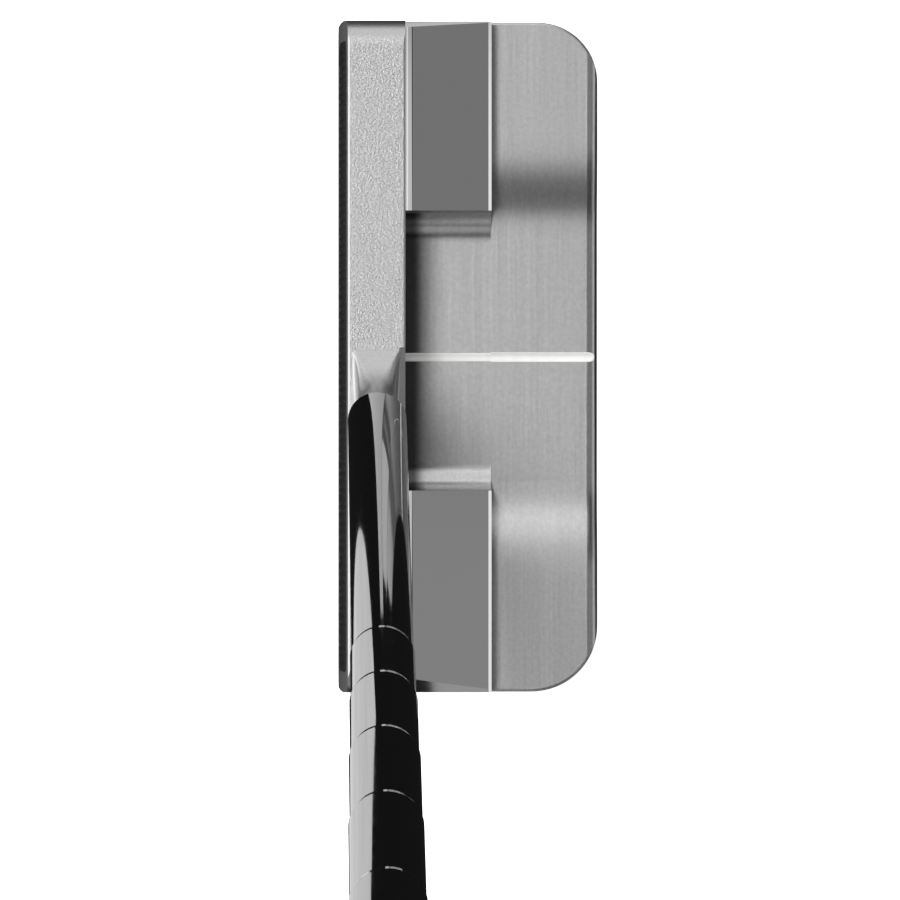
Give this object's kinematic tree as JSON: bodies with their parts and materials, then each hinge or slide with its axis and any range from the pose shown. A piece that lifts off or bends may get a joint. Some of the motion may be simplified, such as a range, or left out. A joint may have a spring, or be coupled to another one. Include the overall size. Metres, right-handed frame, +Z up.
{
  "type": "mallet putter",
  "caption": "Square-backed mallet putter: milled steel head with raised polished bumpers, sight line and sole weights, centre neck, stepped chrome shaft and pistol grip.",
  "frame": {"origin": "on the sole's flat underside, below the sight line and midway from leading edge to rear edge", "axes": "+Z up from the sole, -Y the way the face looks (target line), -X the toe, +X the heel and the golfer"},
  "size_m": [0.3641, 0.0508, 0.8143],
  "materials": {
    "stainless_steel": "bead-blasted and milled, bumpers polished",
    "milled_aluminium": "milled with a fine wave pattern",
    "damping_rubber": "matte",
    "white_paint": "dried white paint fill",
    "sole_aluminium": "satin anodised",
    "screw_steel": "satin",
    "weight_steel": "turned",
    "seal_rubber": "matte",
    "shaft_chrome": "polished chrome plate",
    "epoxy": "cured epoxy",
    "band_film": "printed film without text",
    "tape_paper": "double-sided paper tape",
    "grip_rubber": "fine moulded texture",
    "cap_rubber": "smooth moulded"
  },
  "bodies": {
    "club": {"head_body": "stainless_steel", "face_insert": "milled_aluminium", "insert_pad": "damping_rubber", "sight_line_paint": "white_paint", "sole_plate": "sole_aluminium", "sole_plate_pad": "damping_rubber", "sole_plate_screws": "screw_steel", "shaft": "shaft_chrome", "shaft_bond": "epoxy", "shaft_band": "band_film", "grip_tape": "tape_paper", "grip": "grip_rubber", "grip_cap": "cap_rubber"},
    "toe_seal": {"toe_weight_seal": "seal_rubber"},
    "toe_weight": {"toe_weight": "weight_steel"},
    "heel_seal": {"heel_weight_seal": "seal_rubber"},
    "heel_weight": {"heel_weight": "weight_steel"}
  },
  "joints": [
    {"name": "toe_weight_out", "type": "slide", "parent": "club", "child": "toe_seal", "axis": [0, 0, -1], "range_m": [0, 0.0105]},
    {"name": "toe_weight_turn", "type": "hinge", "parent": "toe_seal", "child": "toe_weight", "pos_m": [-0.037, -0.00328, 0], "axis": [0, 0, -1], "range_deg": [0, 3780]},
    {"name": "heel_weight_out", "type": "slide", "parent": "club", "child": "heel_seal", "axis": [0, 0, -1], "range_m": [0, 0.0105]},
    {"name": "heel_weight_turn", "type": "hinge", "parent": "heel_seal", "child": "heel_weight", "pos_m": [0.037, -0.00328, 0], "axis": [0, 0, -1], "range_deg": [0, 3780]}
  ],
  "couplings": [
    {"joint": "toe_weight_out", "follows": "toe_weight_turn", "m_per_rad": 0.00015915},
    {"joint": "heel_weight_out", "follows": "heel_weight_turn", "m_per_rad": 0.00015915}
  ]
}
